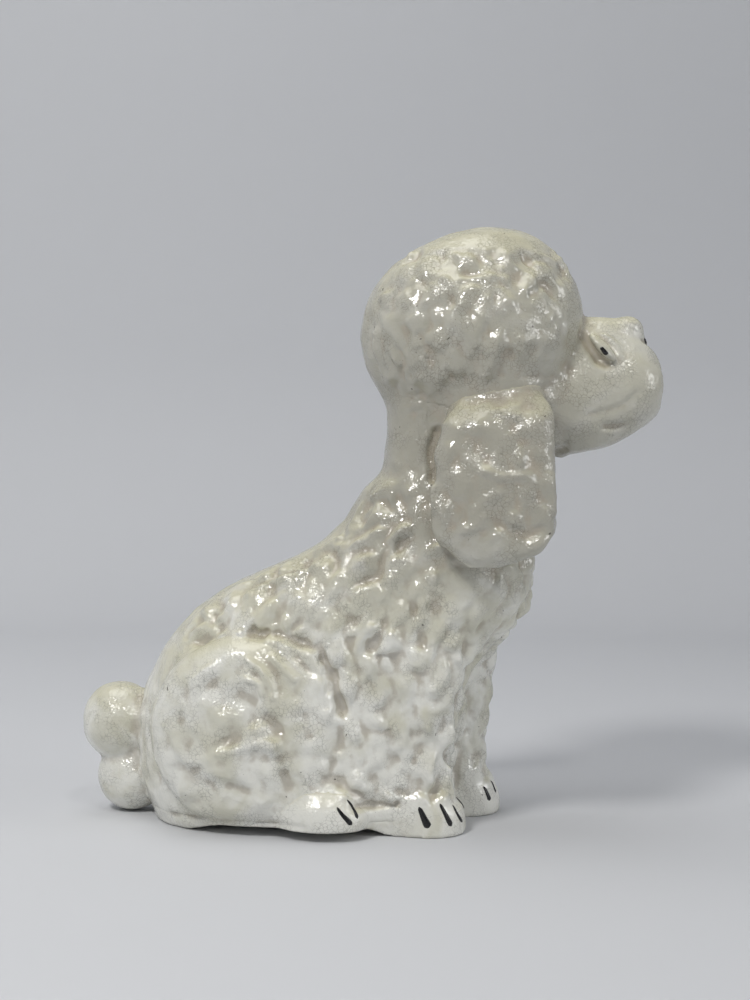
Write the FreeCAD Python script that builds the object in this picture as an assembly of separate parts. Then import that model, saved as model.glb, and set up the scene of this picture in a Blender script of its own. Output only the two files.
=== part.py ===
"""Sitting poodle figurine in glazed ceramic, as the separate castings and enamel marks that it is made of.

Millimetres. +Z is up and z = 0 is the surface it stands on. The dog faces -Y, so its right side is
towards -X. Places are written as (side, forward, height), where forward is the distance towards -Y
and side is positive towards the dog's left. The origin is on the resting face, at the base's centre.
"""

import FreeCAD
import Part

import math
import os

# Overall and casting dimensions
WALL = 5.0                  # thickness of the cast body
HEAD_WALL = 4.5             # thickness of the cast head
BASE_THICKNESS = 5.0
VENT_RADIUS = 9.0           # hole under the base that the slip is poured out of
VENT_FORWARD = -8.0
HEAD_TURN = 6.0             # degrees, towards the dog's left
SECTION_POINTS = 16         # points on each horizontal outline
SQUARENESS = 2.3            # 2 is an ellipse, and more is squarer

# Body outline from the base to the neck: height, rear, front, half width
BASE_SECTIONS = [
    (0.0, -55.0, 38.5, 32.0),
    (5.0, -58.0, 40.5, 34.5),
]
BODY_SECTIONS = [
    (5.0, -58.0, 40.5, 34.5),
    (22.0, -61.5, 43.0, 36.0),
    (40.0, -60.5, 46.5, 35.0),
    (54.0, -56.0, 52.5, 34.0),
    (66.0, -47.5, 61.0, 33.0),
    (77.0, -34.0, 68.0, 31.5),
    (87.0, -14.0, 69.5, 30.0),
    (100.0, 6.5, 69.0, 27.0),
    (112.0, 15.2, 69.0, 24.5),
    (118.0, 20.6, 68.5, 23.5),
    (127.0, 22.7, 67.0, 23.0),
    (142.0, 23.2, 67.0, 22.0),
]

# Head. The crown is a smaller dome that raises the topknot and carries it forward.
TOPKNOT_CENTRE = (0.0, 51.2, 163.0)
TOPKNOT_RADII = (33.0, 37.0, 33.0)
CROWN_CENTRE = (0.0, 57.5, 171.0)
CROWN_RADII = (26.0, 29.5, 28.0)
# Muzzle outline from inside the head to its tip: forward, lowest, highest, half width
MUZZLE_SECTIONS = [
    (66.0, 125.0, 171.5, 20.0),
    (80.0, 123.0, 170.5, 18.0),
    (94.0, 125.0, 168.8, 15.5),
    (105.0, 130.2, 165.0, 13.7),
    (110.5, 134.4, 159.0, 11.5),
    (113.8, 140.5, 153.0, 6.5),
]
NOSE_CENTRE = (0.0, 103.0, 164.6)
NOSE_RADII = (6.5, 5.0, 4.6)
NOSTRIL_CENTRE = (0.0, 107.6, 162.6)
NOSTRIL_RADII = (3.4, 1.2, 1.6)
EYE_CENTRE = (13.5, 92.5, 158.5)
EYE_RADII = (4.0, 6.4, 3.4)
EYE_SLOPE = -45.0           # degrees, the eye's front end is lower
EYE_TURN = 16.0             # degrees, the eye looks a little forward
PUPIL_RADIUS = 1.3
PUPIL_OFFSET = (3.6, 1.2, 0.2)
# Ear outline from its tip up to its root: height, rear, front, half thickness, distance from the middle
EAR_SECTIONS = [
    (88.5, 49.0, 62.0, 3.0, 34.5),
    (93.0, 43.0, 71.5, 6.0, 34.5),
    (104.0, 38.0, 77.5, 8.0, 33.0),
    (118.0, 38.2, 78.0, 8.0, 31.0),
    (130.0, 39.5, 77.5, 7.5, 29.5),
    (138.0, 45.0, 76.5, 6.6, 26.6),
    (146.0, 54.0, 72.0, 5.0, 20.5),
]

# Limbs and tail. Each centre is for the dog's left side, and is mirrored for its right.
HAUNCH_CENTRE = (24.0, -20.5, 33.0)
HAUNCH_RADII = (18.5, 31.0, 31.5)
HIND_PAW_CENTRE = (31.0, 6.0, 6.0)
HIND_PAW_RADII = (9.5, 14.5, 10.5)
FORELEG_SIDE = 16.5
FORELEG_STRIDE = {"right": 0.0, "left": 8.5}    # how far each leg stands ahead of the right one
# Foreleg outline from the floor up: height, rear, front, half width
FORELEG_SECTIONS = [
    (0.0, 27.0, 47.0, 9.5),
    (14.0, 27.0, 45.5, 9.5),
    (30.0, 26.0, 46.5, 10.5),
    (52.0, 24.0, 49.5, 12.0),
    (68.0, 28.0, 50.0, 9.5),
]
FRONT_PAW_FORWARD = 40.0    # the right paw's centre
FRONT_PAW_HEIGHT = 3.0
FRONT_PAW_RADII = (10.5, 12.0, 11.5)
TAIL_LOBES = [              # centre and radii of the pompom and of the tuft under it
    ((0.0, -70.5, 31.0), (13.5, 13.4, 13.8)),
    ((0.0, -66.5, 12.0), (10.5, 12.3, 12.0)),
]

# Enamel strokes that mark the toes
CLAW_LENGTH = 7.5
CLAW_WIDTH = 1.3
CLAW_DEPTH = 0.4
CLAW_BEND = 11.0            # radius that a stroke is bent to, over the paw
CLAW_HEIGHT = 7.5           # the middle of each stroke, above the floor
FRONT_CLAW_ANGLES = (-45.0, -12.0, 28.0, 56.0, 84.0)    # from straight ahead, outwards
HIND_CLAW_ANGLES = (21.0, 49.0)

PARTS = "parts"
FAR = 400.0                 # larger than the figurine


def place(side, forward, height):
    return FreeCAD.Vector(side, -forward, height)


def mirrored(centre, sign):
    return (sign * centre[0], centre[1], centre[2])


def ellipsoid(centre, radii, slope=0.0, splay=0.0, turn=0.0):
    """An ellipsoid with radii (side, forward, height), tilted about its own centre.

    slope lifts its front end, splay swings its lower end sideways, and turn is about the vertical.
    """
    stretch = FreeCAD.Matrix()
    stretch.scale(radii[0], radii[1], radii[2])
    solid = Part.makeSphere(1.0).transformGeometry(stretch)
    origin = FreeCAD.Vector(0, 0, 0)
    solid.rotate(origin, FreeCAD.Vector(1, 0, 0), -slope)
    solid.rotate(origin, FreeCAD.Vector(0, 1, 0), splay)
    solid.rotate(origin, FreeCAD.Vector(0, 0, 1), turn)
    solid.translate(place(*centre))
    return solid


def closed_curve(points):
    curve = Part.BSplineCurve()
    curve.interpolate(points, PeriodicFlag=True)
    return Part.Wire(curve.toShape())


def rounded(angle, half_u, half_v):
    """A point on a rounded outline between an ellipse and a rectangle."""
    power = 2.0 / SQUARENESS
    c, s = math.cos(angle), math.sin(angle)
    return (
        half_u * math.copysign(abs(c) ** power, c),
        half_v * math.copysign(abs(s) ** power, s),
    )


def section_angles():
    return [2 * math.pi * i / SECTION_POINTS for i in range(SECTION_POINTS)]


def level_outline(height, rear, front, half_width, side=0.0, inset=0.0):
    """A horizontal outline between two distances forward."""
    middle, half = (rear + front) / 2, (front - rear) / 2 - inset
    points = []
    for angle in section_angles():
        along, across = rounded(angle, half, half_width - inset)
        points.append(place(side + across, middle + along, height))
    return closed_curve(points)


def upright_outline(forward, lowest, highest, half_width, inset=0.0):
    """An outline across the dog, between two heights."""
    middle, half = (lowest + highest) / 2, (highest - lowest) / 2 - inset
    points = []
    for angle in section_angles():
        up, across = rounded(angle, half, half_width - inset)
        points.append(place(across, forward, middle + up))
    return closed_curve(points)


def loft(wires):
    return Part.makeLoft(wires, True, False)


def body_loft(inset=0.0):
    return loft([level_outline(*section, inset=inset) for section in BODY_SECTIONS])


def above_floor(shape):
    room = Part.makeBox(2 * FAR, 2 * FAR, FAR, FreeCAD.Vector(-FAR, -FAR, 0))
    return shape.common(room)


def one_solid(shape):
    """The largest solid of a cut, so that a stray sliver isn't kept."""
    return max(shape.Solids, key=lambda solid: solid.Volume)


def turned_with_head(shape):
    moved = shape.copy()
    moved.rotate(place(*TOPKNOT_CENTRE), FreeCAD.Vector(0, 0, 1), HEAD_TURN)
    return moved


def make_base():
    plate = loft([level_outline(*section) for section in BASE_SECTIONS])
    vent = Part.makeCylinder(VENT_RADIUS, 3 * BASE_THICKNESS, place(0, VENT_FORWARD, -BASE_THICKNESS))
    return plate.cut(vent)


def make_body():
    return body_loft().cut(body_loft(inset=WALL))


def topknot(inset=0.0):
    dome = ellipsoid(TOPKNOT_CENTRE, [radius - inset for radius in TOPKNOT_RADII])
    crown = ellipsoid(CROWN_CENTRE, [radius - inset for radius in CROWN_RADII])
    return dome.fuse(crown)


def head_outer():
    muzzle = loft([upright_outline(*section) for section in MUZZLE_SECTIONS])
    return topknot().fuse(muzzle)


def make_head(outer, body):
    return one_solid(outer.cut(turned_with_head(topknot(inset=HEAD_WALL))).cut(body))


def make_nose(head):
    return one_solid(turned_with_head(ellipsoid(NOSE_CENTRE, NOSE_RADII)).cut(head))


def make_nostril_paint(head, nose):
    dab = turned_with_head(ellipsoid(NOSTRIL_CENTRE, NOSTRIL_RADII))
    return one_solid(dab.cut(head).cut(nose))


def eye_solid(sign):
    return turned_with_head(
        ellipsoid(mirrored(EYE_CENTRE, sign), EYE_RADII, slope=EYE_SLOPE, turn=sign * EYE_TURN)
    )


def make_pupil(sign, eye):
    centre = [a + b for a, b in zip(EYE_CENTRE, PUPIL_OFFSET)]
    dot = turned_with_head(ellipsoid(mirrored(centre, sign), [PUPIL_RADIUS] * 3))
    return one_solid(dot.cut(eye))


def make_ear(sign, head, body):
    outlines = [
        level_outline(height, rear, front, thickness, side=sign * middle)
        for height, rear, front, thickness, middle in EAR_SECTIONS
    ]
    return one_solid(turned_with_head(loft(outlines)).cut(head).cut(body))


def make_haunch(sign, body, base):
    bulge = above_floor(ellipsoid(mirrored(HAUNCH_CENTRE, sign), HAUNCH_RADII))
    return one_solid(bulge.cut(body).cut(base))


def front_paw_centre(sign, stride):
    return (sign * FORELEG_SIDE, FRONT_PAW_FORWARD + stride, FRONT_PAW_HEIGHT)


def foreleg_solid(sign, stride):
    outlines = [
        level_outline(height, rear + stride, front + stride, width, side=sign * FORELEG_SIDE)
        for height, rear, front, width in FORELEG_SECTIONS
    ]
    paw = ellipsoid(front_paw_centre(sign, stride), FRONT_PAW_RADII)
    return loft(outlines).fuse(above_floor(paw))


def make_tail(body, base):
    (pompom, tuft) = [ellipsoid(centre, radii) for centre, radii in TAIL_LOBES]
    return one_solid(above_floor(pompom.fuse(tuft)).cut(body).cut(base))


def curved_bar():
    """A bar as wide and long as a claw stroke, bent over a paw that bulges forward."""
    inner, outer = CLAW_BEND, CLAW_BEND + CLAW_DEPTH
    reach = CLAW_LENGTH / 2 / CLAW_BEND

    def at(radius, angle):
        return place(-CLAW_WIDTH / 2, radius * math.cos(angle), radius * math.sin(angle))

    edges = [
        Part.Arc(at(outer, -reach), at(outer, 0), at(outer, reach)).toShape(),
        Part.LineSegment(at(outer, reach), at(inner, reach)).toShape(),
        Part.Arc(at(inner, reach), at(inner, 0), at(inner, -reach)).toShape(),
        Part.LineSegment(at(inner, -reach), at(outer, -reach)).toShape(),
    ]
    bar = Part.Face(Part.Wire(edges)).extrude(FreeCAD.Vector(CLAW_WIDTH, 0, 0))
    bar.translate(place(0, -CLAW_BEND, 0))
    return bar


def claw_strokes(centre, radii, angles):
    """Strokes of enamel down the front of a paw, lying on it at these angles round it."""
    strokes = []
    rise = (CLAW_HEIGHT - centre[2]) / radii[2]
    level = math.sqrt(1 - rise ** 2)
    origin = FreeCAD.Vector(0, 0, 0)
    for angle in angles:
        across, along = math.sin(math.radians(angle)), math.cos(math.radians(angle))
        heading = math.atan2(across / radii[0], along / radii[1])
        steep = math.hypot(across / radii[0], along / radii[1]) * level
        lean_back = math.atan2(rise / radii[2], steep)
        stroke = curved_bar()
        stroke.rotate(origin, FreeCAD.Vector(1, 0, 0), -math.degrees(lean_back))
        stroke.rotate(origin, FreeCAD.Vector(0, 0, 1), math.degrees(heading))
        stroke.translate(
            place(
                centre[0] + level * radii[0] * across,
                centre[1] + level * radii[1] * along,
                CLAW_HEIGHT,
            )
        )
        strokes.append(stroke)
    return Part.makeCompound(strokes)


def export(name, shape):
    for solid in shape.Solids:
        assert solid.isValid() and solid.isClosed() and solid.Volume > 0, name
    shape.exportStep(os.path.join(PARTS, name + ".step"))
    print(f"{name}: {len(shape.Solids)} solid(s), {shape.Volume:.1f} mm3")


def main():
    os.makedirs(PARTS, exist_ok=True)
    base = make_base()
    body = make_body()
    solid_body = body_loft()
    solid_base = loft([level_outline(*section) for section in BASE_SECTIONS])
    export("base_plate", base)
    export("torso_shell", body)

    outer = turned_with_head(head_outer())
    head = make_head(outer, solid_body)
    nose = make_nose(outer)
    export("head_shell", head)
    export("nose_button", nose)
    export("nostril_paint", make_nostril_paint(outer, nose))
    export("tail", make_tail(solid_body, solid_base))

    for name, sign in (("right", -1), ("left", 1)):
        eye = one_solid(eye_solid(sign).cut(outer))
        export(name + "_eye", eye)
        export(name + "_pupil", make_pupil(sign, eye.fuse(outer)))
        export(name + "_ear", make_ear(sign, outer, solid_body))

        stride = FORELEG_STRIDE[name]
        foreleg = foreleg_solid(sign, stride).cut(solid_body).cut(solid_base)
        export(name + "_foreleg", one_solid(foreleg))
        front_angles = [sign * angle for angle in FRONT_CLAW_ANGLES]
        front_paw = front_paw_centre(sign, stride)
        export(name + "_front_claws", claw_strokes(front_paw, FRONT_PAW_RADII, front_angles))

        haunch = make_haunch(sign, solid_body, solid_base)
        export(name + "_haunch", haunch)
        hind_paw = mirrored(HIND_PAW_CENTRE, sign)
        paw = above_floor(ellipsoid(hind_paw, HIND_PAW_RADII)).cut(solid_body).cut(solid_base)
        export(name + "_hind_paw", one_solid(paw.cut(haunch)))
        hind_angles = [sign * angle for angle in HIND_CLAW_ANGLES]
        export(name + "_hind_claws", claw_strokes(hind_paw, HIND_PAW_RADII, hind_angles))


main()
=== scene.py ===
"""Sitting poodle figurine in pearl-glazed ceramic.

The figure is modelled like clay. Each casting is a field of distances on one grid (negative inside), the
castings are melted into each other, the coat is raised out of the result in tufts, and then the whole is
parted into its pieces again and each is meshed. Lengths are millimetres until a mesh is made, and places
are (side, ahead, up): side is towards the dog's left (+X), and ahead is the way that it faces (-Y).
"""

import math

import bpy
import numpy as np
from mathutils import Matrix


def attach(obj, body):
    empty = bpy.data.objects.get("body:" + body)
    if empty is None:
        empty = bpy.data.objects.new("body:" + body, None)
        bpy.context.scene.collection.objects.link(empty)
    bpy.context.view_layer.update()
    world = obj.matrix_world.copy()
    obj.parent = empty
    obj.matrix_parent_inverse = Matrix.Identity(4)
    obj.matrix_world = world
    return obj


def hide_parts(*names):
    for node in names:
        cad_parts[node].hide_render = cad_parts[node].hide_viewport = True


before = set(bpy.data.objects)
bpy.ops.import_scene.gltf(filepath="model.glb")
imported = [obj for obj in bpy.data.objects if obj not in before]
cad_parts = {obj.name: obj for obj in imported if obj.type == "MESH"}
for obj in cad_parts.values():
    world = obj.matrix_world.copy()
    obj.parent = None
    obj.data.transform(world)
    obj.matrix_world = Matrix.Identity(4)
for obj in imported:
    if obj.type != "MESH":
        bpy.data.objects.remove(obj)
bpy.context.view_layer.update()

import openvdb
from mathutils import Vector

MM = 0.001
VOXEL = 0.75
FAR = 99.0                      # a distance that is simply outside
WALL = 5.0                      # thickness of the cast body and head
LEAST_STEEP = 0.008             # a field is never taken to change more slowly than this per millimetre
SEAM = 0.9                      # how far a piece runs on under the edge of the one before it
SINK = 0.35                     # how steeply it goes down there
DEEPEST, TALLEST = 3.8, 2.8     # the most that the coat is carved in, well short of the wall, or raised
ENAMEL = 0.3                    # how far a brush mark stands up

SIGNS = {"right": -1, "left": 1}        # which way along side is outwards
HEAD_TURN = math.radians(6)     # towards the dog's left
HEAD_PIVOT = (0.0, 51.5)        # the (side, ahead) that the head turns about

# Outlines: place along the stack, least, most, half width, and where their middle is sideways
BODY = [
    (0.0, -56.0, 38.5, 33.0, 0.0),
    (10.0, -60.0, 41.0, 35.5, 0.0),
    (22.0, -62.0, 43.0, 36.0, 0.0),
    (40.0, -61.0, 46.5, 35.0, 0.0),
    (54.0, -56.0, 52.5, 34.0, 0.0),
    (64.0, -49.0, 59.5, 33.0, 0.0),
    (72.0, -41.0, 64.5, 32.5, 0.0),
    (79.0, -31.0, 67.5, 31.5, 0.0),
    (85.0, -18.0, 68.5, 30.5, 0.0),
    (92.0, -3.0, 69.0, 29.0, 0.0),
    (101.0, 8.0, 69.0, 27.0, 0.0),
    (112.0, 15.2, 69.0, 24.5, 0.0),
    (117.5, 20.6, 68.5, 23.5, 0.0),
    (125.0, 22.6, 67.0, 23.0, 0.0),
    (145.0, 23.2, 67.0, 22.0, 0.0),
]
MUZZLE = [
    (60.0, 127.0, 172.0, 21.0, 0.0),
    (76.0, 123.0, 171.0, 19.0, 0.0),
    (88.0, 124.0, 169.3, 16.5, 0.0),
    (99.0, 127.0, 168.3, 14.5, 0.0),
    (106.0, 131.0, 164.5, 13.5, 0.0),
    (110.5, 134.4, 159.0, 11.5, 0.0),
    (113.2, 138.0, 155.0, 8.0, 0.0),
    (114.2, 142.0, 152.0, 5.5, 0.0),
]
EAR = [
    (88.0, 51.0, 60.0, 2.0, 34.5),
    (91.0, 45.5, 69.0, 5.0, 34.5),
    (97.0, 40.0, 75.0, 7.0, 34.0),
    (106.0, 37.7, 78.2, 8.0, 33.0),
    (118.0, 38.2, 78.0, 8.0, 31.5),
    (128.0, 38.6, 77.8, 7.5, 29.8),
    (136.0, 43.0, 77.6, 6.8, 27.6),
    (142.0, 50.0, 74.5, 5.6, 22.8),
    (148.0, 57.0, 70.0, 4.5, 16.5),
]
STRIDE = {"right": 0.0, "left": 8.5}    # how much further ahead a foreleg stands than it is drawn
FORELEG_SIDE = 16.5
FORELEG = [
    (0.0, 27.0, 47.0, 9.5, FORELEG_SIDE),
    (14.0, 27.0, 45.5, 9.5, FORELEG_SIDE),
    (30.0, 26.0, 46.5, 10.5, FORELEG_SIDE),
    (52.0, 24.0, 49.5, 12.0, FORELEG_SIDE),
    (68.0, 28.0, 50.0, 9.5, FORELEG_SIDE),
]
BASE_THICKNESS = 5.0
VENT_RADIUS = 9.0
VENT_AHEAD = -8.0
LIFT = {"right": 3.2, "left": 1.6}      # how far the base has warped up along each side


# ---- the block of space that everything is sampled in ----

LOWEST = np.array([-48.0, -92.0, -3.0])
HIGHEST = np.array([48.0, 122.0, 204.0])
COUNT = np.ceil((HIGHEST - LOWEST) / VOXEL).astype(int) + 1
LINES = [(LOWEST[i] + VOXEL * np.arange(COUNT[i])).astype(np.float32) for i in range(3)]


def window(low, high):
    """The grid's slices between two corners."""
    spans = []
    for i in range(3):
        start = int(np.clip((low[i] - LOWEST[i]) / VOXEL, 0, COUNT[i] - 2))
        stop = int(np.clip((high[i] - LOWEST[i]) / VOXEL + 2, start + 2, COUNT[i]))
        spans.append(slice(start, stop))
    return tuple(spans)


def places(spans):
    """The side, ahead and up of a window's samples, ready to broadcast."""
    side, ahead, up = [LINES[i][spans[i]] for i in range(3)]
    return side[:, None, None], ahead[None, :, None], up[None, None, :]


EVERYWHERE = window(LOWEST, HIGHEST)


def turned(u, v, angle):
    """Two coordinates in a frame that is turned by an angle in radians."""
    c, s = math.cos(angle), math.sin(angle)
    return c * u + s * v, c * v - s * u


def head_on(side, ahead):
    """The same places as if the head looked straight ahead."""
    s, a = turned(side - HEAD_PIVOT[0], ahead - HEAD_PIVOT[1], -HEAD_TURN)
    return s + HEAD_PIVOT[0], a + HEAD_PIVOT[1]


def steepness(f):
    """How fast a field changes per millimetre."""
    return np.sqrt(sum(np.square(g) for g in np.gradient(f, VOXEL)))


def field(distance, low, high, on_head=False, even=False):
    """A field that holds distance(side, ahead, up) between two corners and is outside elsewhere.

    even corrects a shape whose distance is only roughly in millimetres.
    """
    whole = np.full(COUNT, FAR, np.float32)
    spans = window(low, high)
    side, ahead, up = places(spans)
    if on_head:
        side, ahead = head_on(side, ahead)
    f = distance(side, ahead, up)
    if even:
        f = f / np.maximum(steepness(f), LEAST_STEEP)
    whole[spans] = f
    return whole


# ---- shapes ----

def ellipsoid(centre, radii, slope=0.0, turn=0.0):
    """Distance to an ellipsoid, in degrees: slope lifts its front, and turn is about the vertical."""
    def distance(side, ahead, up):
        s, a, u = side - centre[0], ahead - centre[1], up - centre[2]
        if turn:
            s, a = turned(s, a, math.radians(turn))
        if slope:
            a, u = turned(a, u, math.radians(slope))
        near = np.sqrt((s / radii[0]) ** 2 + (a / radii[1]) ** 2 + (u / radii[2]) ** 2)
        steep = np.sqrt((s / radii[0] ** 2) ** 2 + (a / radii[1] ** 2) ** 2 + (u / radii[2] ** 2) ** 2)
        return near * (near - 1) / (steep + 1e-6)
    return distance


def ball(centre, radii, on_head=False, **tilt):
    reach = np.array([max(radii) + 16.0] * 3)
    return field(ellipsoid(centre, radii, **tilt), centre - reach, centre + reach, on_head)


def smooth_curve(knots, values, t):
    """A smooth curve through the values, without overshooting between the knots."""
    knots, values = np.asarray(knots, float), np.asarray(values, float)
    gaps = np.diff(knots)
    slopes = np.diff(values) / gaps
    tangents = np.concatenate(([slopes[0]], (slopes[1:] + slopes[:-1]) / 2, [slopes[-1]]))
    flat = np.concatenate(([False], slopes[1:] * slopes[:-1] <= 0, [False]))
    tangents[flat] = 0
    t = np.clip(t, knots[0], knots[-1])
    i = np.clip(np.searchsorted(knots, t) - 1, 0, len(gaps) - 1)
    x = (t - knots[i]) / gaps[i]
    rise = x * x * (3 - 2 * x)
    bow = x * (1 - x)
    start, end = tangents[i] * gaps[i], tangents[i + 1] * gaps[i]
    curve = values[i] * (1 - rise) + values[i + 1] * rise + bow * ((1 - x) * start - x * end)
    return curve.astype(np.float32)


def lofted(sections, along, square, sign=1, step=0.0, on_head=False, taper=0.0):
    """A field through outlines stacked upwards (along is "up") or forwards ("ahead").

    taper is how much narrower an outline is at its top than at its middle.
    """
    knots, least, most, widths, middles = [np.array(column) for column in zip(*sections)]

    def distance(side, ahead, up):
        run, rise = (up, ahead - step) if along == "up" else (ahead, up)
        lows, highs = smooth_curve(knots, least, run), smooth_curve(knots, most, run)
        wide, middle = smooth_curve(knots, widths, run), smooth_curve(knots, sign * middles, run)
        lengthwise = (rise - (lows + highs) / 2) / ((highs - lows) / 2)
        across = np.abs(side - middle) / (wide * (1 - taper * np.clip(lengthwise + 0.2, 0, 1.2)))
        f = (across ** square + np.abs(lengthwise) ** square) ** (1 / square) - 1
        beyond = np.maximum(knots[0] - run, run - knots[-1])
        return np.maximum(f * wide, beyond)

    reach = 14.0
    sides = [min(sign * middles) - max(widths) - reach, max(sign * middles) + max(widths) + reach]
    runs, rises = [knots[0] - reach, knots[-1] + reach], [min(least) - reach, max(most) + reach]
    if along == "up":
        low, high = (sides[0], rises[0] + step, runs[0]), (sides[1], rises[1] + step, runs[1])
    else:
        low, high = (sides[0], runs[0], rises[0]), (sides[1], runs[1], rises[1])
    return field(distance, low, high, on_head, even=True)


def melt(a, b, soft):
    """Both solids, with the crease between them filled to about this radius."""
    close = np.maximum(soft - np.abs(a - b), 0) / soft
    return np.minimum(a, b) - close * close * soft / 4


def mirrored(centre, sign):
    return np.array([sign * centre[0], centre[1], centre[2]])


# ---- the castings ----

def make_torso():
    body = lofted(BODY, "up", 2.3)
    chest = ball(np.array([0.0, 50.5, 82.0]), (25.0, 19.5, 19.0))
    return melt(body, chest, 12.0)


def make_head():
    topknot = ball(np.array([0.0, 51.2, 163.0]), (33.0, 37.0, 33.0), on_head=True)
    crown = ball(np.array([0.0, 57.5, 171.0]), (26.0, 29.5, 28.0), on_head=True)
    muzzle = lofted(MUZZLE, "ahead", 2.5, on_head=True, taper=0.3)
    for sign in SIGNS.values():
        lip = ball(mirrored((5.5, 102.5, 147.0), sign), (8.5, 10.0, 9.0), on_head=True)
        muzzle = melt(muzzle, lip, 3.0)
    return melt(melt(topknot, crown, 4.0), muzzle, 1.2)


def make_nose():
    return ball(np.array([0.0, 103.0, 164.6]), (6.5, 5.0, 4.6), on_head=True)


def make_eye(sign):
    centre = mirrored((12.0, 93.4, 158.2), sign)
    return ball(centre, (4.4, 6.4, 2.1), on_head=True, slope=-45.0, turn=-sign * 14.0)


def make_ear(sign):
    return lofted(EAR, "up", 2.7, sign=sign, on_head=True)


def thigh(ahead, up):
    """How far out from the middle of the thigh, where 1 is its edge."""
    return np.hypot((ahead + 20.5) / 31.5, (up - 33.0) / 32.0)


def make_haunch(sign):
    def cushion(side, ahead, up):
        across = (sign * side - 22.0) / 19.0
        return (np.abs(across) ** 3 + thigh(ahead, up) ** 3) ** (1 / 3) - 1
    low, high = sorted([sign * 1.0, sign * 46.0])
    return field(cushion, (low, -56.0, -3.0), (high, 15.0, 69.0), even=True)


def make_hind_paw(sign):
    return ball(mirrored((31.0, 6.0, 6.0), sign), (9.5, 14.5, 10.5))


def make_foreleg(name):
    sign, step = SIGNS[name], STRIDE[name]
    leg = lofted(FORELEG, "up", 2.2, sign=sign, step=step)
    paw = ball(np.array([sign * FORELEG_SIDE, 39.5 + step, 3.0]), (10.5, 11.7, 11.5))
    return melt(leg, paw, 6.0)


def make_tail():
    pompom = ball(np.array([0.0, -70.5, 31.0]), (13.5, 13.4, 13.8))
    tuft = ball(np.array([0.0, -66.5, 12.0]), (10.5, 12.3, 12.0))
    return melt(pompom, tuft, 2.5)


def make_castings():
    parts = {"torso_shell": make_torso(), "head_shell": make_head(), "nose_button": make_nose()}
    parts["tail"] = make_tail()
    for name, sign in SIGNS.items():
        parts[name + "_eye"] = make_eye(sign)
        parts[name + "_ear"] = make_ear(sign)
        parts[name + "_haunch"] = make_haunch(sign)
        parts[name + "_hind_paw"] = make_hind_paw(sign)
        parts[name + "_foreleg"] = make_foreleg(name)
    return parts


SOFTNESS = {        # how far each casting melts into the rest
    "shell": 4.0, "button": 2.5, "tail": 4.0, "eye": 1.0, "ear": 5.5, "haunch": 3.0, "paw": 4.0,
    "foreleg": 9.0,
}


def ease(f, start, end):
    """0 where f is at start, 1 where it is at end, and smooth between."""
    t = np.clip((f - start) / (end - start), 0, 1)
    return t * t * (3 - 2 * t)


def joined(parts):
    whole = parts["torso_shell"]
    for name, f in parts.items():
        if name != "torso_shell":
            whole = melt(whole, f, SOFTNESS[name.split("_")[-1]])
    return whole


def underside():
    """How far above the floor's level a place is, less the gap where the base has warped."""
    side, ahead, up = places(EVERYWHERE)
    lift = sum(amount * ease(SIGNS[name] * side, 14.0, 33.0) for name, amount in LIFT.items())
    return up - lift * ease(ahead, -44.0, -26.0) * (1 - ease(ahead, 20.0, 29.0))


# ---- the coat ----

def spread(f, reach):
    """A field averaged over a cube that reaches this far each way."""
    n = max(1, round(reach / VOXEL))
    for axis in range(3):
        padded = np.pad(f, [(n + 1, n) if i == axis else (0, 0) for i in range(3)], mode="edge")
        total = np.cumsum(padded, axis=axis, dtype=np.float64)
        late = np.take(total, range(2 * n + 1, total.shape[axis]), axis=axis)
        early = np.take(total, range(0, total.shape[axis] - 2 * n - 1), axis=axis)
        f = ((late - early) / (2 * n + 1)).astype(np.float32)
    return f


def sampled(f, points):
    """A field's values at points, read between the grid's samples."""
    spot = (points - LOWEST) / VOXEL
    base = np.clip(np.floor(spot).astype(int), 0, COUNT - 2)
    t = np.clip(spot - base, 0, 1)
    total = np.zeros(len(points))
    for corner in np.ndindex(2, 2, 2):
        weight = np.prod(np.where(corner, t, 1 - t), axis=1)
        i, j, k = (base + corner).T
        total += weight * f[i, j, k]
    return total


def facing(f, points, step=1.5):
    """Unit normals of a field at points."""
    axes = np.eye(3) * step
    slopes = np.column_stack([sampled(f, points + a) - sampled(f, points - a) for a in axes])
    return slopes / np.maximum(np.linalg.norm(slopes, axis=1, keepdims=True), 1e-6)


def settled(f, points, rounds=5):
    """Points moved onto a field's surface."""
    for _ in range(rounds):
        points = points - facing(f, points) * sampled(f, points)[:, None]
    return points


# Coat of each casting: spacing of its tufts, their half length and half width, how high they stand, and
# how much of the fine hair between them shows
COAT = {
    "torso_shell": (8.0, 6.8, 4.0, 3.1, 1.0),
    "head_shell": (7.0, 6.2, 3.7, 1.9, 1.0),
    "ear": (8.5, 6.8, 4.2, 1.3, 0.6),
    "haunch": (11.0, 8.0, 5.4, 1.9, 0.6),
    "foreleg": (8.0, 6.4, 3.9, 2.9, 0.8),
    "tail": (8.0, 5.4, 4.2, 0.9, 0.3),
}
TRIES = 14000                   # random places that are tried for each layer of tufts
# Raised, pressed and fine locks: seed, sparsity, size, level between the locks, and share in the relief
LAYERS = [(7, 1.0, 1.0, -0.4, 0.75), (12, 1.45, 0.8, 0.0, -0.75), (21, 0.6, 0.52, 0.0, 0.75)]
FINE = 0.6                      # locks of less than this size are the fine hair
EDGE = 0.4                      # how softly one tuft runs into the next, as a share of its height
MEAN_RELIEF = 0.9               # taken off, so that the coat's mean surface is the casting's


def coat_of(name):
    return COAT.get(name) or COAT.get(name.split("_")[-1])


def unit(v):
    return v / np.maximum(np.linalg.norm(v, axis=-1, keepdims=True), 1e-6)


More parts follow.
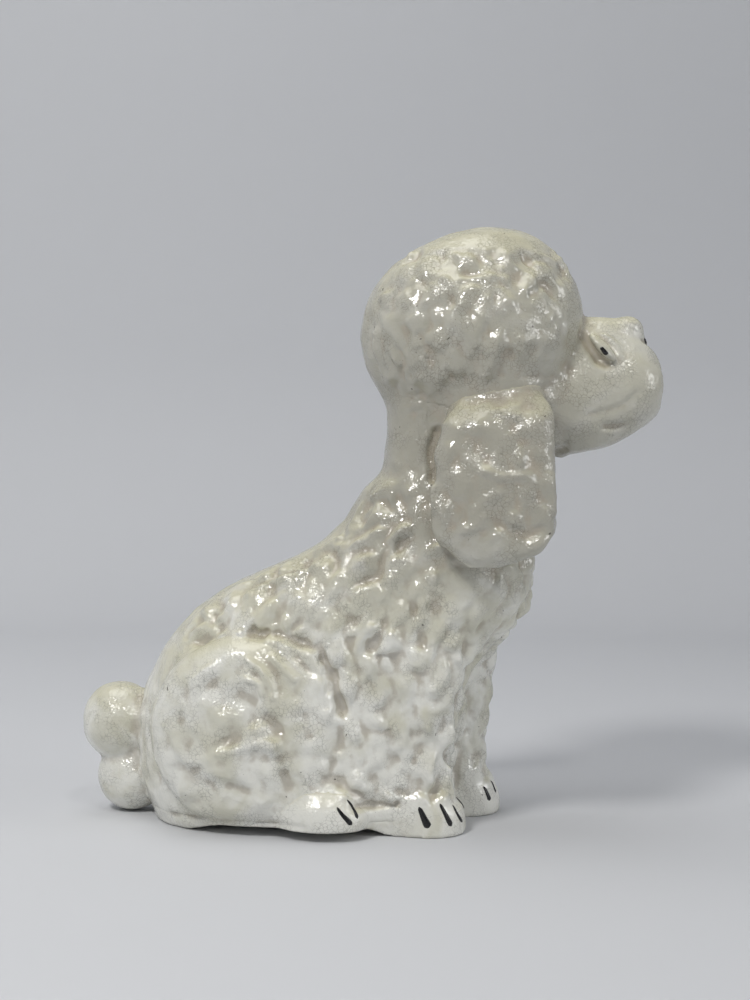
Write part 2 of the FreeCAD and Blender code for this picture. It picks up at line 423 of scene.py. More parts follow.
def lie(name, points):
    """Which way the hair lies at points on a casting."""
    side, ahead, up = points.T
    zero, one = np.zeros(len(points)), np.ones(len(points))
    if name == "head_shell":
        way = points - np.array([0.0, 52.0, 199.0])
        way = way + 0.6 * np.column_stack([zero, -(up - 165.0), ahead - 52.0]) * np.sign(side)[:, None]
    elif name.endswith("haunch"):
        way = np.column_stack([zero, ahead + 20.5, up - 33.0])
        way = unit(way) + 0.7 * unit(np.column_stack([zero, up - 33.0, -(ahead + 20.5)]))
    elif name.endswith("ear"):
        way = np.column_stack([zero, 0.15 * np.sin(up / 7.0), -one])
    elif name == "torso_shell":
        way = np.column_stack([zero, -0.35 * one, -one])
        way[:, 1] = np.where(up < 60, 0.2, way[:, 1])
    else:
        way = np.column_stack([zero, 0.1 * one, -one])
    return unit(way)


def scattered(parts, whole, random, sparsity):
    """Places for the tufts: (point, normal, way, casting), each a tuft's spacing from the next."""
    names = [name for name in parts if coat_of(name)]
    points = random.uniform(LOWEST + 4, HIGHEST - 4, (TRIES, 3))
    points = settled(whole, points, rounds=12)
    kept = np.abs(sampled(whole, points)) < 0.3
    points = points[kept & np.all((points > LOWEST + 2) & (points < HIGHEST - 2), axis=1)]
    owner = np.argmin([sampled(parts[name], points) for name in names], axis=0)
    normals = facing(whole, points)
    chosen, gaps = np.zeros((0, 3)), np.zeros(0)
    tufts = []
    for point, normal, which in zip(points, normals, owner):
        gap = coat_of(names[which])[0] * sparsity
        if len(chosen) and np.any(np.linalg.norm(chosen - point, axis=1) < (gaps + gap) / 2):
            continue
        chosen, gaps = np.vstack([chosen, point]), np.append(gaps, gap)
        way = lie(names[which], point[None])[0]
        spin = random.normal(0, 0.55)
        way = unit(way - normal * (way @ normal))
        way = way * math.cos(spin) + np.cross(normal, way) * math.sin(spin)
        tufts.append((point, normal, way, names[which]))
    return tufts


def add_lock(locks, tuft, random, size):
    """One comma-shaped lock of hair with a blunt ridge along it, thick at its root and curling to a tip."""
    point, normal, way, name = tuft
    _, length, width, height, fineness = coat_of(name)
    if size < FINE:
        height = height * fineness
    length, width, height = [v * size * random.uniform(0.7, 1.3) for v in (length, width, height)]
    bend = random.uniform(0.1, 0.6) * random.choice([-1, 1])
    reach = np.array([length * 1.5] * 3)
    spans = window(point - reach, point + reach)
    side, ahead, up = places(spans)
    offset = [side - point[0], ahead - point[1], up - point[2]]
    across = np.cross(normal, way)
    s = sum(o * w for o, w in zip(offset, way)) / length
    t = sum(o * w for o, w in zip(offset, across)) / width
    n = sum(o * w for o, w in zip(offset, normal))
    t = np.abs(t - bend * (s * s - 0.3)) / np.maximum(1.0 - 0.35 * s, 0.1)
    too_far = np.maximum(np.abs(n) - 3.5, 0)        # off the surface, so another part isn't marked
    lock = height * (1.0 + 0.25 * s - s * s - t ** 1.5) - 0.12 * np.square(too_far)
    soft = EDGE * height
    here = locks[spans]
    close = np.maximum(soft - np.abs(here - lock), 0) / soft
    locks[spans] = np.maximum(here, lock) + close * close * soft / 4


def make_relief(parts, whole):
    """The coat: locks of hair that stand up, with others pressed into them as if by a modelling tool."""
    relief = np.zeros(COUNT, np.float32)
    for seed, sparsity, size, level, share in LAYERS:
        random = np.random.default_rng(seed)
        locks = np.full(COUNT, level, np.float32)
        for tuft in scattered(parts, whole, random, sparsity):
            add_lock(locks, tuft, random, size)
        relief += share * locks
    return relief - MEAN_RELIEF


def swells(size, seed):
    """Smooth lumps and dips of about this many millimetres, evenly spread about zero."""
    lumps = np.random.default_rng(seed).normal(0, 1, COUNT).astype(np.float32)
    for _ in range(2):
        lumps = spread(lumps, size / 3)
    return lumps / lumps.std()


def curliness(parts):
    """How much of the coat shows: 1 in the curls, 0 on bare skin and where the mould is smooth."""
    side, ahead, up = places(EVERYWHERE)
    side_on_head, ahead_on_head = head_on(side, ahead)
    # Each patch is a field that is lowest inside it
    curly = ease(up, 7.0, 14.0) * np.ones(COUNT, np.float32)
    face = np.maximum(86.0 - ahead_on_head, (121.0 - up) * 0.5)
    curly = curly * ease(face, -1.0, 6.0)
    cap = ellipsoid((0.0, 57.0, 203.0), (30.0, 29.0, 18.0))(side_on_head, ahead_on_head, up)
    curly = curly * ease(cap, -2.0, 5.0)
    back = np.maximum(np.abs(side) - 15.0, np.maximum(ahead - 34.0 + (up - 140.0) * 0.15, 48.0 - up))
    curly = curly * ease(back, -3.0, 6.0)
    nape = np.maximum(ahead - 37.0, np.abs(up - 124.0) - 12.0)
    curly = curly * (0.3 + 0.7 * ease(nape, -3.0, 5.0))
    for name in SIGNS:
        curly = curly * ease(parts[name + "_hind_paw"], -1.0, 4.0)
        behind_ear = np.maximum(parts[name + "_ear"] - 7.0, SIGNS[name] * side - 29.0)
        curly = curly * ease(behind_ear, -3.0, 1.0)
        curly = curly * (0.75 + 0.25 * ease(parts[name + "_haunch"], -3.0, 2.0))
    near_thigh = ease(np.abs(side), 20.0, 26.0) * ease(up, 30.0, 44.0)
    rim = np.abs(thigh(ahead, up) - 0.89) + 1.0 - near_thigh
    curly = curly * (0.15 + 0.85 * ease(rim, 0.06, 0.16))
    brushed = np.maximum(np.maximum(46.0 - ahead, up - 90.0), 23.0 - np.abs(side))
    curly = curly * (0.55 + 0.45 * ease(brushed, -4.0, 6.0))
    curly = curly * (0.25 + 0.75 * ease(ahead, -47.0, -35.0))
    temple = np.maximum(np.maximum(68.0 - ahead_on_head, up - 172.0), 130.0 - up)
    curly = curly * (0.45 + 0.55 * ease(temple, -6.0, 4.0))
    return curly * (0.78 + 0.22 * np.clip(swells(14.0, 3), -2, 2))


# ---- lines and dimples, drawn one by one ----

SIDE_FROM, FRONT_FROM = 6.0, 96.0   # marks reach no further in than this, seen from the side or the front

# Each mark is a path of (ahead, up) seen from the side, its radius and how high it stands
FACE_MARKS = [
    ([(87.4, 162.6), (89.4, 158.6), (91.8, 154.4)], 1.2, -2.2),       # crease behind the eye
    ([(93.0, 153.6), (94.4, 153.0)], 1.4, -1.5),                      # hollow under the eye
    ([(90.2, 165.2), (94.6, 163.0), (98.2, 159.2), (99.4, 155.6)], 1.0, 0.9),        # lid
    ([(94.5, 132.6), (100.0, 132.8), (106.0, 133.4), (111.5, 136.0)], 1.0, -1.3),     # mouth
    ([(89.5, 136.4), (95.0, 137.6), (100.5, 139.8), (105.0, 143.6)], 1.2, -0.6),      # cheek fold
    ([(83.0, 160.0), (82.0, 150.0), (79.0, 138.0), (76.0, 128.0)], 2.0, -0.5),       # edge of the hair
]
HAUNCH_MARKS = [
    ([(-16.0, 66.2), (-6.5, 65.0), (4.0, 61.0), (10.5, 52.5), (13.2, 42.0)], 1.6, -2.2),  # top of the thigh
    ([(12.4, 45.0), (13.2, 38.0), (12.4, 31.0)], 1.6, -1.6),
    ([(11.6, 28.0), (9.8, 23.0)], 1.2, -1.0),
    ([(-22.0, 61.0), (-9.0, 60.6), (1.0, 56.0), (7.0, 47.0), (8.6, 36.0)], 3.8, 1.1),  # its smooth rim
    ([(-16.5, 58.0), (-11.5, 54.5), (-8.5, 50.0), (-8.0, 46.5)], 1.1, 1.7),
    ([(-8.7, 59.0), (-5.5, 55.8), (-1.5, 52.0)], 1.1, 1.6),
    ([(-17.0, 52.0), (-12.5, 50.5), (-11.5, 47.0)], 1.1, 1.4),
    ([(-26.0, 28.0), (-19.0, 29.6), (-13.0, 31.4), (-7.0, 31.0)], 1.8, 1.7),
    ([(-40.0, 30.0), (-36.0, 24.5), (-29.0, 26.0)], 1.8, 1.2),
    ([(-28.0, 49.5), (-24.5, 44.5)], 3.2, -2.0),
    ([(-19.0, 47.0), (-14.5, 44.5)], 2.4, -1.6),
    ([(-22.5, 32.6), (-18.0, 36.0), (-14.5, 40.0)], 2.4, -1.9),
    ([(-38.5, 38.0), (-35.0, 32.0)], 3.0, -2.0),
    ([(-37.0, 22.0), (-30.0, 17.5)], 3.2, -1.9),
    ([(-9.5, 40.0), (-6.0, 36.0)], 2.2, -1.6),
    ([(1.5, 40.5), (3.5, 34.0)], 2.2, -1.2),
    ([(-4.8, 22.0), (-3.6, 17.8)], 1.8, -2.1),                        # pits
    ([(8.4, 19.8), (11.8, 19.2)], 2.2, -1.5),
    ([(-22.5, 17.4), (-17.5, 16.2)], 1.8, -1.6),
    ([(-10.5, 26.6), (-6.0, 26.2)], 2.2, -1.3),
]
FLANK_MARKS = [
    ([(30.5, 25.6), (34.0, 24.2), (38.0, 24.8)], 2.6, -1.7),          # pit above the foreleg's paw
    ([(17.5, 10.8), (24.0, 10.4), (30.0, 11.0)], 1.2, -1.2),          # top of the plinth
    ([(-46.0, 4.6), (-30.0, 5.4), (-14.0, 5.2), (2.0, 4.8)], 1.0, -0.7),
]
EAR_MARKS = [
    ([(40.0, 131.0), (38.2, 124.0), (38.8, 116.0)], 1.5, -2.3),       # undercut at the back
    ([(55.0, 118.5), (61.0, 116.6), (68.0, 117.0)], 1.5, 1.2),
    ([(60.0, 111.5), (55.0, 109.5), (51.0, 105.0)], 1.7, 0.8),
    ([(46.0, 108.0), (44.5, 102.0)], 2.2, -1.1),
    ([(66.0, 108.0), (70.0, 104.5)], 2.4, -0.8),
    ([(47.0, 131.5), (53.0, 132.0)], 2.6, 0.8),                       # bulge at the top
    ([(53.0, 125.5), (56.0, 122.0)], 2.4, -0.9),
    ([(67.5, 127.0), (69.5, 121.0)], 2.2, -0.8),
    ([(70.0, 94.5), (75.5, 97.0), (78.5, 101.5)], 2.2, 1.3),          # rolled rim
    ([(68.0, 98.5), (73.0, 101.0)], 1.5, -1.3),
]
LIP_MARKS = [                       # (side, up), seen from the front
    ([(0.0, 158.5), (0.0, 150.0), (0.0, 137.0)], 0.9, -0.8),
    ([(-5.0, 160.6), (0.0, 158.8), (5.0, 160.6)], 0.9, -1.1),
]


def seen(side, ahead, view):
    """How far inside a mark's reach places are, on the side that view names."""
    return ahead - FRONT_FROM if view == "front" else SIGNS[view] * side - SIDE_FROM


def draw(marks, path, radius, height, view, on_head=False):
    """Adds a ridge along a path, or a groove where height is negative, on the side that view names."""
    path = np.array(path, float)
    steps = np.linspace(0, len(path) - 1, 4 * len(path) - 3)
    knots = np.arange(len(path))
    path = np.column_stack([smooth_curve(knots, path[:, i], steps) for i in range(2)])
    margin = 3 * radius + 4
    low, high = path.min(axis=0) - margin, path.max(axis=0) + margin
    if view == "front":
        spans = window((low[0], FRONT_FROM, low[1]), (high[0], HIGHEST[1], high[1]))
    else:
        reach = sorted([SIGNS[view] * SIDE_FROM, SIGNS[view] * HIGHEST[0]])
        spans = window((reach[0], low[0] - 3, low[1]), (reach[1], high[0] + 3, high[1]))
    side, ahead, up = places(spans)
    if on_head:
        side, ahead = head_on(side, ahead)
    run = side if view == "front" else ahead
    nearest = None
    for start, end in zip(path[:-1], path[1:]):
        span = end - start
        t = ((run - start[0]) * span[0] + (up - start[1]) * span[1]) / (span @ span)
        t = np.clip(t, 0, 1)
        gap = (run - start[0] - t * span[0]) ** 2 + (up - start[1] - t * span[1]) ** 2
        nearest = gap if nearest is None else np.minimum(nearest, gap)
    marks[spans] += height * np.exp(-nearest / radius ** 2) * ease(seen(side, ahead, view), 0.0, 4.0)


def hand_marks():
    marks = np.zeros(COUNT, np.float32)
    for name in SIGNS:
        for path, radius, height in FACE_MARKS:
            draw(marks, path, radius, height, name, on_head=True)
        for path, radius, height in EAR_MARKS:
            draw(marks, path, radius, height, name, on_head=True)
        for path, radius, height in HAUNCH_MARKS + FLANK_MARKS:
            draw(marks, path, radius, height, name)
    for path, radius, height in LIP_MARKS:
        draw(marks, path, radius, height, "front", on_head=True)
    return marks


# ---- meshes ----

MOST_TRIANGLES = 170000         # what a piece is thinned to if it has more

# Where two pieces meet, the one that comes first here lies on top
ORDER = ["eye", "button", "ear", "hind_paw", "foreleg", "haunch", "tail", "head_shell", "torso_shell"]


def rank(name):
    return next(i for i, ending in enumerate(ORDER) if name.endswith(ending))


def parted(parts, whole):
    """The whole figure's field, cut into one field for each casting and the base plate."""
    side, ahead, up = places(EVERYWHERE)
    pieces = {}
    for name, own in parts.items():
        over = [f for other, f in parts.items() if other != name and rank(other) <= rank(name)]
        under = [f for other, f in parts.items() if rank(other) > rank(name)]
        piece = whole
        if over:
            gap = (own - np.minimum.reduce(over)) / 2
            piece = np.maximum(piece + SINK * np.maximum(gap, 0), gap - SEAM)
        if under:
            piece = np.maximum(piece, (own - np.minimum.reduce(under)) / 2)
        pieces[name] = piece
    torso = pieces["torso_shell"]
    lid = up - BASE_THICKNESS
    vent = VENT_RADIUS - np.hypot(side, ahead - VENT_AHEAD)
    pieces["base_plate"] = np.maximum(np.maximum(torso + SINK * np.maximum(lid, 0), lid - SEAM), vent)
    pieces["torso_shell"] = np.maximum(np.maximum(torso, -lid), -(parts["torso_shell"] + WALL))
    pieces["head_shell"] = np.maximum(pieces["head_shell"], -(parts["head_shell"] + WALL))
    return pieces


def mesh_from(f, name):
    """An object with a field's surface as its closed mesh, in metres in the row frame."""
    grid = openvdb.FloatGrid(FAR)
    grid.copyFromArray(np.ascontiguousarray(f))
    points, quads = grid.convertToQuads(0.0)
    mesh = bpy.data.meshes.new(name)
    mesh.from_pydata(in_frame(points * VOXEL + LOWEST), [], quads)
    mesh.update()
    mesh.shade_smooth()
    made = linked(name, mesh)
    triangles = 2 * len(quads)
    if triangles > MOST_TRIANGLES:
        made.modifiers.new("thinned", "DECIMATE").ratio = MOST_TRIANGLES / triangles
        depsgraph = bpy.context.evaluated_depsgraph_get()
        thinned = bpy.data.meshes.new_from_object(made.evaluated_get(depsgraph))
        made.modifiers.clear()
        made.data = thinned
    return made


def in_frame(points):
    """Metres in the row frame from millimetres (side, ahead, up)."""
    return points * np.array([MM, -MM, MM])


def linked(name, data):
    made = bpy.data.objects.new(name, data)
    bpy.context.scene.collection.objects.link(made)
    return made


# ---- brushed enamel ----

ALONG, ACROSS = 12, 6           # faces in a brush mark
BESIDE, BEFORE = 47.0, 121.0    # how far out, or ahead, the brush comes from
LONGEST = 110.0                 # how far it goes at most to meet the surface

# Each stroke is its width, where the brush lands and where it lifts: (ahead, up) from the side
FRONT_CLAWS = [
    (2.8, (37.2, 10.2), (40.4, 3.6)),
    (2.1, (43.7, 11.0), (47.4, 3.8)),
    (1.5, (47.4, 10.0), (50.4, 4.2)),
]
HIND_CLAWS = [
    (1.9, (12.2, 11.4), (16.9, 6.0)),
    (1.5, (15.2, 13.6), (18.6, 7.6)),
]
PUPIL = (2.6, (92.8, 158.2), (94.6, 155.8))
# The same from the front, as (how far out, up)
INNER_CLAWS = [
    (2.0, (9.5, 9.8), (9.7, 5.0)),
    (1.2, (13.6, 11.0), (14.0, 7.0)),
]
NOSTRIL = (1.4, (3.4, 161.8), (2.2, 159.6))


def touched(surface, points, way):
    """Where points first meet the surface as they move this way."""
    steps = np.arange(0.0, LONGEST, 0.5)
    path = points[:, None, :] + steps[None, :, None] * way
    path = np.clip(path, LOWEST, HIGHEST)
    inside = sampled(surface, path.reshape(-1, 3)).reshape(len(points), -1) < 0
    return settled(surface, points + steps[np.argmax(inside, axis=1)][:, None] * way)


def brush_mark(surface, stroke, sign, view="side", step=0.0, on_head=False):
    """Points and faces of one stroke of enamel, crowned in the middle and thin at its edges."""
    width, start, end = stroke
    t = np.linspace(0, 1, ALONG + 1)[:, None]
    run, up = (np.array(start) * (1 - t) + np.array(end) * t).T
    if view == "side":
        spine = [np.full(ALONG + 1, sign * BESIDE), run + step, up]
        way = np.array([-sign, 0.0, 0.0])
    else:
        spine = [sign * run, np.full(ALONG + 1, BEFORE), up]
        way = np.array([0.0, -1.0, 0.0])
    if on_head:
        s, a = turned(spine[0] - HEAD_PIVOT[0], spine[1] - HEAD_PIVOT[1], HEAD_TURN)
        spine[:2] = s + HEAD_PIVOT[0], a + HEAD_PIVOT[1]
        way[:2] = turned(way[0], way[1], HEAD_TURN)
    spine = touched(surface, np.column_stack(spine), way)
    for _ in range(4):
        spine[1:-1] = (spine[:-2] + 2 * spine[1:-1] + spine[2:]) / 4
    spine = settled(surface, spine)
    normal = facing(surface, spine)
    sideways = np.cross(unit(np.gradient(spine, axis=0)), normal)
    breadth = width / 2 * (0.45 + 0.55 * t) * np.sqrt(np.clip(1 - (2 * t - 1) ** 8, 0.05, 1))
    across = np.linspace(-1, 1, ACROSS + 1)[None, :]
    sheet = spine[:, None, :] + sideways[:, None, :] * (breadth * across)[:, :, None]
    shape = sheet.shape[:2]
    sheet = settled(surface, sheet.reshape(-1, 3))
    out = facing(surface, sheet)
    crown = ENAMEL * (1 - 0.8 * np.abs(across) ** 3) * np.sqrt(np.clip(1 - (2 * t - 1) ** 6, 0.05, 1))
    points = np.vstack([sheet + out * crown.reshape(-1, 1), sheet - out * ENAMEL])
    top = np.arange(len(sheet)).reshape(shape)
    faces = []
    for i, j in np.ndindex(ALONG, ACROSS):
        ring = [top[i, j], top[i + 1, j], top[i + 1, j + 1], top[i, j + 1]]
        faces += [ring, [k + len(sheet) for k in reversed(ring)]]
    rim = np.concatenate([top[:-1, 0], top[-1, :-1], top[:0:-1, -1], top[0, :0:-1]])
    for a, b in zip(rim, np.roll(rim, -1)):
        faces.append([b, a, a + len(sheet), b + len(sheet)])
    return points, np.array(faces)


def enamel(name, brush_marks):
    """One piece of enamel made of several strokes."""
    points, faces = [], []
    for more, rings in brush_marks:
        faces += (rings + sum(map(len, points))).tolist()
        points.append(more)
    mesh = bpy.data.meshes.new(name)
    mesh.from_pydata(in_frame(np.vstack(points)), [], faces)
    mesh.update()
    mesh.shade_smooth()
    return linked(name, mesh)


# ---- materials ----

class Shader:
    """A node material, built link by link."""

    def __init__(self, name):
        self.material = bpy.data.materials.new(name)
        self.material.use_nodes = True
        self.tree = self.material.node_tree
        self.surface = self.tree.nodes["Principled BSDF"]
        place = self.add("ShaderNodeTexCoord")
        scale = self.add("ShaderNodeVectorMath", operation="SCALE")
        scale.inputs["Scale"].default_value = 1 / MM
        self.tree.links.new(place.outputs["Object"], scale.inputs[0])
        self.place = scale.outputs[0]

    def add(self, kind, **settings):
        node = self.tree.nodes.new(kind)
        for key, value in settings.items():
            setattr(node, key, value)
        return node

    def put(self, socket, value):
        if isinstance(value, bpy.types.NodeSocket):
            self.tree.links.new(value, socket)
        else:
            socket.default_value = value

    def noise(self, size, detail=2.0, place=None, warp=0.0):
        """Cloudy variation with features of about this many millimetres."""
        node = self.add("ShaderNodeTexNoise")
        self.put(node.inputs["Vector"], place or self.place)
        self.put(node.inputs["Scale"], 1 / size)
        self.put(node.inputs["Detail"], detail)
        self.put(node.inputs["Distortion"], warp)
        return node.outputs["Fac"]

    def cells(self, size, feature, place=None):
        node = self.add("ShaderNodeTexVoronoi", feature=feature)
        self.put(node.inputs["Vector"], place or self.place)
        self.put(node.inputs["Scale"], 1 / size)
        return node.outputs["Distance"]

    def span(self, value, low, high, to_low=0.0, to_high=1.0):
        node = self.add("ShaderNodeMapRange", interpolation_type="SMOOTHSTEP")
        for socket, number in zip(node.inputs, (value, low, high, to_low, to_high)):
            self.put(socket, number)
        return node.outputs[0]

    def math(self, operation, a, b):
        node = self.add("ShaderNodeMath", operation=operation)
        self.put(node.inputs[0], a)
        self.put(node.inputs[1], b)
        return node.outputs[0]

    def mix(self, share, a, b):
        node = self.add("ShaderNodeMix", data_type="RGBA")
        self.put(node.inputs["Factor"], share)
        self.put(node.inputs[6], (*a, 1.0) if isinstance(a, tuple) else a)
        self.put(node.inputs[7], (*b, 1.0) if isinstance(b, tuple) else b)
        return node.outputs[2]

    def jittered(self, size, amount):
        """The place, shaken by noise, so that cell edges aren't straight."""
        node = self.add("ShaderNodeTexNoise")
        self.put(node.inputs["Vector"], self.place)
        self.put(node.inputs["Scale"], 1 / size)
        shake = self.add("ShaderNodeVectorMath", operation="MULTIPLY_ADD")
        self.put(shake.inputs[0], node.outputs["Color"])
        self.put(shake.inputs[1], (amount, amount, amount))
        self.put(shake.inputs[2], self.place)
        return shake.outputs[0]

    def bump(self, height, strength, distance):
        node = self.add("ShaderNodeBump")
        self.put(node.inputs["Height"], height)
        self.put(node.inputs["Strength"], strength)
        self.put(node.inputs["Distance"], distance * MM)
        self.put(self.surface.inputs["Normal"], node.outputs[0])

    def finish(self, color, roughness, **constants):
        self.put(self.surface.inputs["Base Color"], color)
        self.put(self.surface.inputs["Roughness"], roughness)
        for name, value in constants.items():
            self.put(self.surface.inputs[name.replace("_", " ")], value)
        return self.material


CREAM = (0.66, 0.645, 0.53)             # thin glaze
PEARL = (0.84, 0.835, 0.77)             # the thicker glaze; more of it low down is painted light
SHADE = (0.41, 0.395, 0.33)             # painted shade, from the chest up
IVORY = (0.62, 0.59, 0.41)              # painted tint and shade on what faces up
TAUPE = (0.42, 0.37, 0.29)              # glaze pooling in the hollows, deepened as painted shade
CRACK = (0.10, 0.09, 0.07)


def pearl_glaze():
    """Thick cream glaze under a brushed pearl lustre, crackled in patches, grey-brown where it pools in the
    hollows, with painted shade there and across the upper body, painted light low down and a painted tint
    where it faces up.
    """
    m = Shader("pearl_glaze")
    hollow = m.add("ShaderNodeAttribute", attribute_name="hollow").outputs["Fac"]
    facing_up = m.add("ShaderNodeSeparateXYZ")
    m.put(facing_up.inputs[0], m.add("ShaderNodeNewGeometry").outputs["Normal"])
    at = m.add("ShaderNodeSeparateXYZ")
    m.put(at.inputs[0], m.place)

    # The glaze: thicker in patches and, as painted light, paler low down; painted shade from the chest up;
    # a painted tint, yellower and darker, where it faces up
    patches = m.noise(17.0, detail=3.0, warp=0.6)
    mottle = m.noise(3.2, detail=4.0)
    # Painted light: more of the paler glaze lower down, less higher up
    thickness_and_painted_light = m.math("ADD", patches, m.span(at.outputs["Z"], 0.0, 130.0, 0.10, -0.08))
    color = m.mix(m.span(thickness_and_painted_light, 0.40, 0.66), CREAM, PEARL)
    # Painted shade from the chest up, fading a little towards the top and less on the muzzle
    painted_shade = m.span(at.outputs["Z"], 66.0, 108.0)
    painted_shade = m.math("MULTIPLY", painted_shade, m.span(at.outputs["Z"], 135.0, 170.0, 1.0, 0.75))
    painted_shade = m.math("MULTIPLY", painted_shade, m.span(at.outputs["Y"], -94.0, -76.0, 0.55, 1.0))
    color = m.mix(painted_shade, color, SHADE)
    # Painted tint and shade: yellower and a little darker where the surface faces up
    color = m.mix(m.span(facing_up.outputs["Z"], 0.3, 0.95, 0.0, 0.8), color, IVORY)
    # Grey-brown where glaze pools in the hollows, deepened there as painted shade
    pooled_glaze_and_shade = m.math("ADD", hollow, m.span(mottle, 0.3, 0.7, -0.2, 0.2))
    color = m.mix(m.span(pooled_glaze_and_shade, 0.0, 0.7, 0.0, 0.62), color, TAUPE)

    # Crackle, single specks and patches of grit
    crackle = m.cells(1.3, "DISTANCE_TO_EDGE", m.jittered(1.6, 0.9))
    crackled = m.span(m.noise(9.0, detail=2.0), 0.44, 0.60)
    cracks = m.math("MULTIPLY", m.span(crackle, 0.0, 0.07, 1.0, 0.0), crackled)
    specks = m.span(m.cells(7.0, "F1", m.jittered(5.0, 4.0)), 0.03, 0.06, 1.0, 0.0)
    grit = m.span(m.cells(0.75, "F1", m.jittered(0.9, 0.8)), 0.12, 0.24, 1.0, 0.0)
    gritty = m.math("MULTIPLY", m.span(m.noise(6.0, detail=3.0), 0.60, 0.72), grit)
    color = m.mix(m.math("MULTIPLY", cracks, 0.35), color, CRACK)
    color = m.mix(m.math("MULTIPLY", gritty, 0.6), color, CRACK)
    color = m.mix(m.math("MULTIPLY", specks, 0.9), color, CRACK)

    # How uneven its surface is
    grain = m.math("MULTIPLY", m.noise(0.75, detail=2.0), m.span(m.noise(8.0), 0.45, 0.6, 0.15, 0.9))
    stipple = m.math("MULTIPLY", m.noise(1.5, detail=2.0), 0.6)
    height = m.math("ADD", m.math("MULTIPLY", m.noise(4.5), 1.6), m.math("ADD", stipple, grain))
    height = m.math("SUBTRACT", height, m.math("MULTIPLY", cracks, 0.5))
    m.bump(height, 0.7, 0.3)
    roughness = m.span(m.noise(6.0, detail=3.0), 0.3, 0.7, 0.07, 0.20)
    return m.finish(color, roughness, IOR=1.85)


def black_enamel():
    m = Shader("black_enamel")
    worn = m.span(m.noise(0.6, detail=3.0), 0.62, 0.8)
    color = m.mix(worn, (0.008, 0.008, 0.009), (0.06, 0.05, 0.045))
    m.bump(m.noise(0.5), 0.3, 0.05)
    return m.finish(color, m.span(m.noise(1.2), 0.3, 0.7, 0.16, 0.34))


def bare_bisque():
    m = Shader("bare_bisque")
    stain = m.noise(7.0, detail=4.0)
    specks = m.span(m.cells(1.8, "F1"), 0.05, 0.16, 1.0, 0.0)
    color = m.mix(m.span(stain, 0.35, 0.7), (0.60, 0.55, 0.45), (0.44, 0.38, 0.29))
    color = m.mix(m.math("MULTIPLY", specks, 0.5), color, (0.22, 0.18, 0.13))
    m.bump(m.noise(0.8, detail=5.0), 0.6, 0.12)
    return m.finish(color, m.span(stain, 0.3, 0.7, 0.72, 0.9))


# ---- making the figure ----

parts = make_castings()
base_form = joined(parts)
creases = 0.8 - np.abs(swells(3.4, 9))      # short sharp ones in the hair
ripples = swells(6.0, 5)                    # all over, as a hand-finished mould leaves them
relief = make_relief(parts, base_form) + 0.32 * creases
carved = curliness(parts) * relief + hand_marks() + 0.12 * ripples
most = np.where(carved < 0, DEEPEST, TALLEST)
coated = base_form - most * np.tanh(carved / most)
floor_gap = underside()
coated = np.maximum(coated, -floor_gap)
# How deep a place lies in a hollow, for the pooled glaze and painted shade there
hollows = spread(coated, 3.0) - coated

GLAZE, ENAMEL_BLACK, BISQUE = pearl_glaze(), black_enamel(), bare_bisque()
for name, f in parted(parts, coated).items():
    piece = mesh_from(f, name)
    points = np.array([vertex.co for vertex in piece.data.vertices])
    depth = -sampled(hollows, points / in_frame(np.ones(3)))
    piece.data.attributes.new("hollow", "FLOAT", "POINT").data.foreach_set("value", depth)
    piece.data.materials.append(GLAZE)
    piece.data.materials.append(BISQUE)
    centre_up = np.array([polygon.center.z for polygon in piece.data.polygons])
    normal_up = np.array([polygon.normal.z for polygon in piece.data.polygons])
    bare = (normal_up < -0.8) & (centre_up < (BASE_THICKNESS - 0.5) * MM)
    piece.data.polygons.foreach_set("material_index", bare.astype(np.int32))
    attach(piece, "root")
    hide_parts(name)

strokes = {"nostril_paint": [brush_mark(coated, NOSTRIL, s, "front", on_head=True) for s in SIGNS.values()]}
for name, sign in SIGNS.items():
    strokes[name + "_pupil"] = [brush_mark(coated, PUPIL, sign, on_head=True)]
    inner = [brush_mark(coated, claw, sign, "front") for claw in INNER_CLAWS]
    outer = [brush_mark(coated, claw, sign, step=STRIDE[name]) for claw in FRONT_CLAWS]
    strokes[name + "_front_claws"] = inner + outer
    strokes[name + "_hind_claws"] = [brush_mark(coated, claw, sign) for claw in HIND_CLAWS]
for name, brush_marks in strokes.items():
    piece = enamel(name, brush_marks)
    piece.data.materials.append(ENAMEL_BLACK)
    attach(piece, "root")
    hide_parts(name)


# ---- camera, light and backdrop, in metres ----

# Painted light on the paper: its tones ahead of the dog, where the light falls off, and behind it, with the
# wall painted darker than the floor
FLOOR_TONES = (0.56, 0.57, 0.59), (0.70, 0.71, 0.73)
WALL_TONES = (0.49, 0.50, 0.52), (0.66, 0.67, 0.69)
# The camera is on the dog's right, swung this far towards its face and raised this far
TARGET = Vector((0.0, -18.6, 108.0)) * MM
SWING, TILT, DISTANCE = math.radians(9.0), math.radians(2.0), 560.0 * MM


def aimed(made, at):
    """The object put in a place and turned to look at the target."""
    made.location = at
    made.rotation_euler = (TARGET - made.location).to_track_quat("-Z", "Y").to_euler()
    return made


def soft_light(name, at, size, power, color=(1.0, 1.0, 1.0)):
    """A round light of this diameter and this many watts."""
    light = bpy.data.lights.new(name, "AREA")
    light.shape = "DISK"
    light.size = size
    light.energy = power
    light.color = color
    return aimed(linked(name, light), Vector(at))


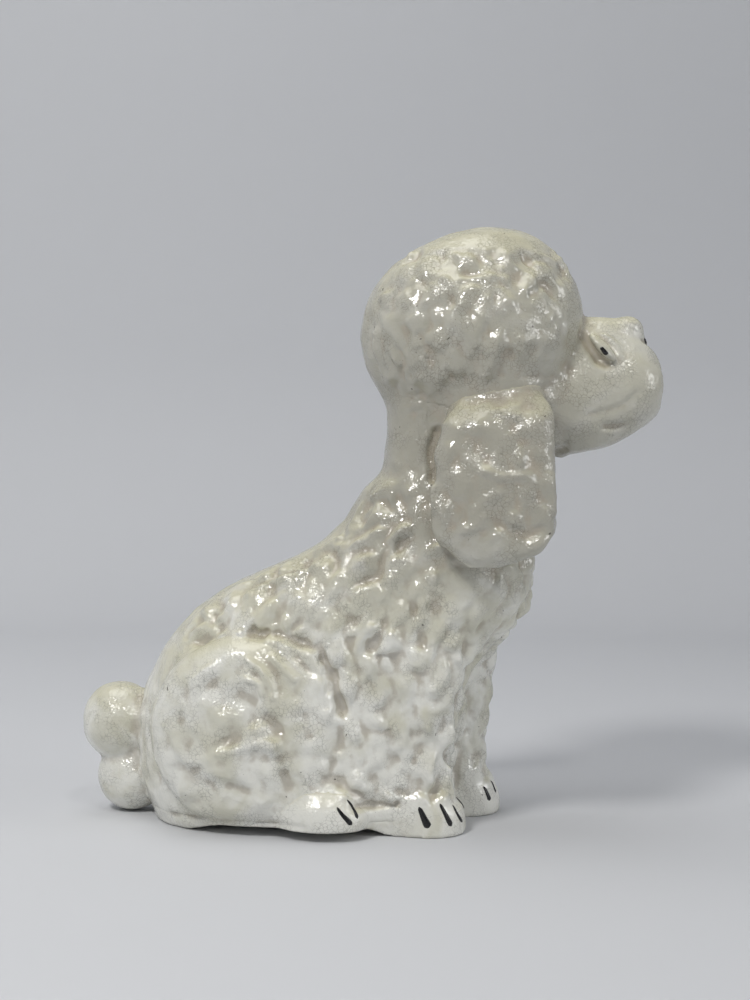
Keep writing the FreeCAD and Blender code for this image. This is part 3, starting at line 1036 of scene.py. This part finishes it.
def backdrop(radius=1.2, curve=0.2, height=1.5, behind=-0.45, steps=12, sectors=96):
    """A pale round stage that curves up into a wall on every side, with its middle towards the camera."""
    outline = [(0.0, 0.0), (0.3, 0.0)]
    for i in range(steps + 1):
        angle = math.pi / 2 * i / steps
        outline.append((radius - curve + curve * math.sin(angle), curve - curve * math.cos(angle)))
    outline.append((radius, height))
    points = [(behind, 0.0, 0.0)]
    for reach, z in outline[1:]:
        for k in range(sectors):
            angle = 2 * math.pi * k / sectors
            points.append((behind + reach * math.cos(angle), reach * math.sin(angle), z))
    faces = [(0, 1 + k, 1 + (k + 1) % sectors) for k in range(sectors)]
    for row in range(len(outline) - 2):
        for k in range(sectors):
            after = (k + 1) % sectors
            ring, above = 1 + row * sectors, 1 + (row + 1) * sectors
            faces.append((ring + k, above + k, above + after, ring + after))
    mesh = bpy.data.meshes.new("backdrop")
    mesh.from_pydata(points, [], faces)
    mesh.update()
    mesh.shade_smooth()
    sheet = linked("backdrop", mesh)
    paper = Shader("backdrop_paper")
    at = paper.add("ShaderNodeSeparateXYZ")
    paper.put(at.inputs[0], paper.place)
    towards_tail = paper.span(at.outputs["Y"], -500.0, 500.0)
    # Painted light: darker ahead of the dog, lighter behind it, and the wall darker than the floor
    floor, wall = [paper.mix(towards_tail, dim, lit) for dim, lit in (FLOOR_TONES, WALL_TONES)]
    color = paper.mix(paper.span(at.outputs["Z"], 60.0, 420.0), floor, wall)
    sheet.data.materials.append(paper.finish(color, 0.8))
    return sheet


view = Vector((-math.cos(SWING) * math.cos(TILT), -math.sin(SWING) * math.cos(TILT), math.sin(TILT)))
camera = aimed(linked("camera", bpy.data.cameras.new("camera")), TARGET + DISTANCE * view)
camera.data.lens = 59.7
camera.data.sensor_fit = "VERTICAL"
camera.data.sensor_height = 36.0
bpy.context.scene.camera = camera
bpy.context.scene.view_settings.view_transform = "Standard"

backdrop()
soft_light("key", (-0.66, 0.24, 0.84), 0.22, 4.7, (1.0, 0.985, 0.96))
soft_light("window", (-0.62, -0.30, 0.92), 0.12, 1.1, (1.0, 0.985, 0.96))
soft_light("overhead", (0.05, 0.20, 1.20), 0.90, 3.9)
soft_light("front_fill", (-0.20, -0.98, 0.42), 0.45, 1.7)
soft_light("left_fill", (0.85, -0.45, 0.70), 0.50, 2.4)
world = bpy.data.worlds.new("world")
world.use_nodes = True
world.node_tree.nodes["Background"].inputs["Color"].default_value = (0.80, 0.84, 0.90, 1.0)
world.node_tree.nodes["Background"].inputs["Strength"].default_value = 0.18
bpy.context.scene.world = world
